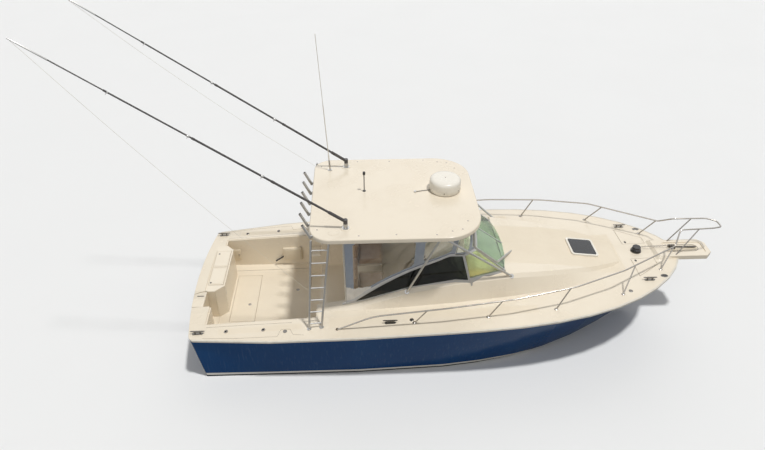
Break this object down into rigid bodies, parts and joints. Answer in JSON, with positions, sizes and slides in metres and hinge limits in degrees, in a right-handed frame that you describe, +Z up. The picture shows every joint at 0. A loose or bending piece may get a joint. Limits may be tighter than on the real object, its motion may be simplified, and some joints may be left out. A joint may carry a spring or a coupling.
{
  "type": "sport fishing boat",
  "caption": "Express sport fishing boat with a blue deep-V hull, trunk cabin, open cockpit, hardtop, outriggers, bow rail and pulpit.",
  "frame": {"origin": "on the waterline, on the centreline, midway between the transom corners and the stem", "axes": "+X to the bow, +Y to port, +Z up"},
  "size_m": [11.235, 3.618, 6.7413],
  "materials": {
    "topsides": "polished gelcoat",
    "gelcoat": "gelcoat",
    "stainless": "polished",
    "anodised": "satin anodised",
    "clear_glass": "tinted",
    "dark_glass": "smoked acrylic",
    "clear_curtain": "clear vinyl in white fabric",
    "upholstery": "vinyl",
    "black_plastic": "satin",
    "rubber_strip": "vinyl",
    "cable_jacket": "matte",
    "white_fibreglass": "smooth",
    "engine_iron": "painted",
    "bronze": "cast and ground"
  },
  "bodies": {
    "boat": {"hull": "topsides", "deck": "gelcoat", "rub_rail": "rubber_strip", "cockpit_liner": "gelcoat", "transom_unit": "gelcoat", "helm_console": "gelcoat", "door_hinges": "stainless", "seat_bases": "gelcoat", "seat_cushions": "upholstery", "tackle_locker": "gelcoat", "windshield_frame": "anodised", "glazing": "clear_glass", "enclosure_curtains": "clear_curtain", "hardtop": "gelcoat", "hardtop_frame": "anodised", "hardtop_fittings": "anodised", "rod_launchers": "anodised", "radar_dome": "white_fibreglass", "radar_cable": "cable_jacket", "gps_antenna": "white_fibreglass", "deck_hardware": "stainless", "rod_holders": "stainless", "bow_rail": "stainless", "pulpit": "gelcoat", "foredeck_hatch_frame": "white_fibreglass", "engines": "engine_iron", "running_gear": "bronze"},
    "bait_lid_port": {"bait_lid_port": "gelcoat"},
    "bait_lid_starboard": {"bait_lid_starboard": "gelcoat"},
    "transom_door": {"transom_door": "gelcoat"},
    "lazarette_hatch": {"lazarette_hatch": "gelcoat"},
    "cabin_door": {"cabin_door": "gelcoat"},
    "steering_wheel": {"steering_wheel": "black_plastic"},
    "vhf_whip": {"vhf_whip": "white_fibreglass"},
    "outrigger_port": {"outrigger_port": "anodised"},
    "outrigger_starboard": {"outrigger_starboard": "anodised"},
    "windlass_drum": {"windlass_drum": "black_plastic"},
    "bow_roller": {"bow_roller": "black_plastic"},
    "foredeck_hatch": {"foredeck_hatch": "dark_glass"},
    "anchor_lid_port": {"anchor_lid_port": "gelcoat"},
    "anchor_lid_starboard": {"anchor_lid_starboard": "gelcoat"},
    "propeller_port": {"propeller_port": "bronze"},
    "propeller_starboard": {"propeller_starboard": "bronze"},
    "rudder_port": {"rudder_port": "bronze"},
    "rudder_starboard": {"rudder_starboard": "bronze"}
  },
  "joints": [
    {"name": "bait_lid_port_hinge", "type": "hinge", "parent": "boat", "child": "bait_lid_port", "pos_m": [-4.285, 0.6105, 0.95609], "axis": [0, -1, 0], "range_deg": [0, 80]},
    {"name": "bait_lid_starboard_hinge", "type": "hinge", "parent": "boat", "child": "bait_lid_starboard", "pos_m": [-4.285, 0.0795, 0.95609], "axis": [0, -1, 0], "range_deg": [0, 80]},
    {"name": "transom_door_hinge", "type": "hinge", "parent": "boat", "child": "transom_door", "pos_m": [-4.257, -0.772, 0.665], "axis": [0, 0, 1], "range_deg": [-95, 0]},
    {"name": "lazarette_hatch_hinge", "type": "hinge", "parent": "boat", "child": "lazarette_hatch", "pos_m": [-3.46, 0.175, 0.3], "axis": [0, 1, 0], "range_deg": [0, 85]},
    {"name": "cabin_door_hinge", "type": "hinge", "parent": "boat", "child": "cabin_door", "pos_m": [-0.362, 0.548, 0.95], "axis": [0, 0, 1], "range_deg": [-100, 0]},
    {"name": "steering", "type": "hinge", "parent": "boat", "child": "steering_wheel", "pos_m": [-0.50837, -0.475, 1.35608], "axis": [-0.9488, 0, 0.3159], "range_deg": [-540, 540]},
    {"name": "whip_fold", "type": "hinge", "parent": "boat", "child": "vhf_whip", "pos_m": [-1.96, 0.88, 2.80897], "axis": [0, 1, 0], "range_deg": [0, 90]},
    {"name": "outrigger_port_swing", "type": "hinge", "parent": "boat", "child": "outrigger_port", "pos_m": [-1.66, 0.99, 2.84201], "axis": [0, 0, 1], "range_deg": [-90, 0]},
    {"name": "outrigger_starboard_swing", "type": "hinge", "parent": "boat", "child": "outrigger_starboard", "pos_m": [-1.66, -0.99, 2.84201], "axis": [0, 0, 1], "range_deg": [0, 90]},
    {"name": "windlass_turn", "type": "hinge", "parent": "boat", "child": "windlass_drum", "pos_m": [3.78, 0, 1.40895], "axis": [0, 0, 1], "continuous": true},
    {"name": "bow_roller_turn", "type": "hinge", "parent": "boat", "child": "bow_roller", "pos_m": [4.45, 0, 1.46], "axis": [0, 1, 0], "continuous": true},
    {"name": "foredeck_hatch_hinge", "type": "hinge", "parent": "boat", "child": "foredeck_hatch", "pos_m": [2.94069, 0, 1.48364], "axis": [0, 1, 0], "range_deg": [0, 75]},
    {"name": "anchor_lid_port_hinge", "type": "hinge", "parent": "boat", "child": "anchor_lid_port", "pos_m": [4.034, 0.32, 1.38115], "axis": [0, 1, 0], "range_deg": [0, 50]},
    {"name": "anchor_lid_starboard_hinge", "type": "hinge", "parent": "boat", "child": "anchor_lid_starboard", "pos_m": [4.034, -0.32, 1.38115], "axis": [0, 1, 0], "range_deg": [0, 50]},
    {"name": "propeller_port_turn", "type": "hinge", "parent": "boat", "child": "propeller_port", "pos_m": [-3.56, 0.62, -0.6], "axis": [0.9848, 0, 0.1736], "continuous": true},
    {"name": "propeller_starboard_turn", "type": "hinge", "parent": "boat", "child": "propeller_starboard", "pos_m": [-3.56, -0.62, -0.6], "axis": [0.9848, 0, 0.1736], "continuous": true},
    {"name": "rudder_port_turn", "type": "hinge", "parent": "boat", "child": "rudder_port", "pos_m": [-4.01, 0.62, -0.405], "axis": [0, 0, 1], "range_deg": [-35, 35]},
    {"name": "rudder_starboard_turn", "type": "hinge", "parent": "boat", "child": "rudder_starboard", "pos_m": [-4.01, -0.62, -0.405], "axis": [0, 0, 1], "range_deg": [-35, 35]}
  ],
  "couplings": [
    {"joint": "rudder_port_turn", "follows": "steering", "ratio": -0.064814},
    {"joint": "rudder_starboard_turn", "follows": "steering", "ratio": -0.064814}
  ]
}
